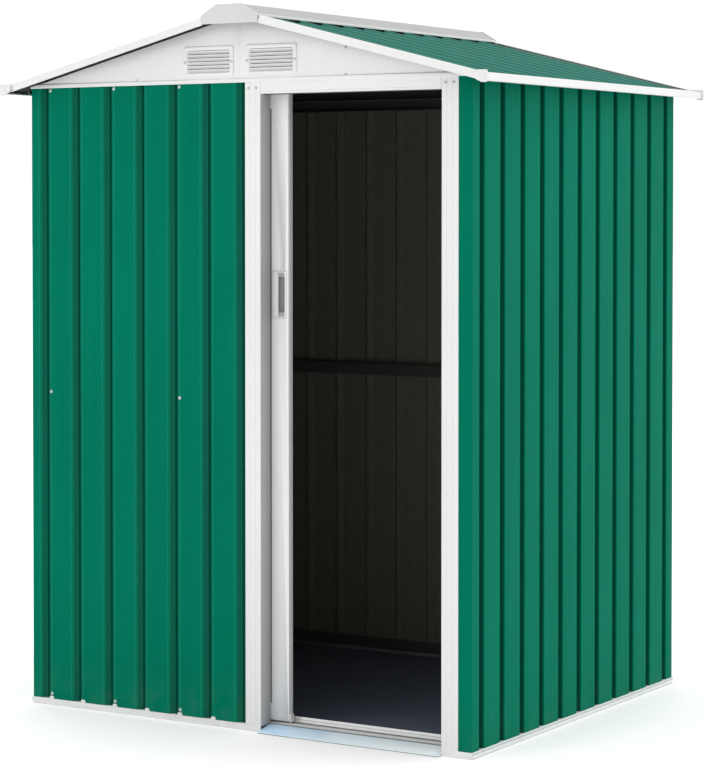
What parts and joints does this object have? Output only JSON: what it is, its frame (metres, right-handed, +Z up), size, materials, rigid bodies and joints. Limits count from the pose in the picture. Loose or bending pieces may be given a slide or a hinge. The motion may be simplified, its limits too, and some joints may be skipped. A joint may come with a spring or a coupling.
{
  "type": "metal storage shed",
  "caption": "Small garden shed of ribbed sheet steel with a low gable roof, vented gables and a doorway closed by a single sliding door.",
  "frame": {"origin": "centre of the shed's bounding box, on the ground", "axes": "+X to the right as seen from the front, +Y to the back, +Z up; the door slides along X"},
  "size_m": [1.58, 1.344, 1.9648],
  "materials": {
    "green_sheet": "satin green coating on ribbed steel sheet",
    "roof_sheet": "satin green coating on ribbed steel sheet",
    "white_trim": "satin white coating on folded steel",
    "zinc_steel": "bare galvanised steel",
    "plastic_fittings": "moulded off-white plastic",
    "dark_floor": "dark satin floor panel"
  },
  "bodies": {
    "shed": {"front_base_rail": "white_trim", "back_base_rail": "white_trim", "left_base_rail": "white_trim", "right_base_rail": "white_trim", "floor_panel": "dark_floor", "threshold_ramp": "zinc_steel", "lower_door_track": "white_trim", "upper_door_track": "zinc_steel", "door_head_beam": "white_trim", "left_door_jamb": "white_trim", "right_door_jamb": "white_trim", "front_wall_left": "green_sheet", "front_wall_right": "green_sheet", "left_wall": "green_sheet", "right_wall": "green_sheet", "back_wall": "green_sheet", "front_top_rail": "white_trim", "back_top_rail": "white_trim", "side_top_rails": "white_trim", "front_mid_rail": "white_trim", "back_mid_rail": "white_trim", "side_mid_rails": "white_trim", "front_gable_left": "white_trim", "front_gable_right": "white_trim", "back_gable": "white_trim", "gable_vents": "white_trim", "left_roof_sheet": "roof_sheet", "right_roof_sheet": "roof_sheet", "ridge_beam": "white_trim", "ridge_cap": "white_trim", "ridge_end_plates": "white_trim", "front_verge_trims": "white_trim", "back_verge_trims": "white_trim", "left_eave_trim": "white_trim", "right_eave_trim": "white_trim", "eave_corner_caps": "plastic_fittings"},
    "door": {"door_panel": "green_sheet", "door_front_stile": "white_trim", "door_rear_stile": "white_trim", "door_top_rail": "white_trim", "door_bottom_rail": "white_trim", "door_handle": "plastic_fittings", "door_hangers": "zinc_steel", "door_rollers": "plastic_fittings", "door_guides": "plastic_fittings"}
  },
  "joints": [
    {"name": "door_slide", "type": "slide", "parent": "shed", "child": "door", "axis": [1, 0, 0], "range_m": [-0.05, 0.522]}
  ]
}
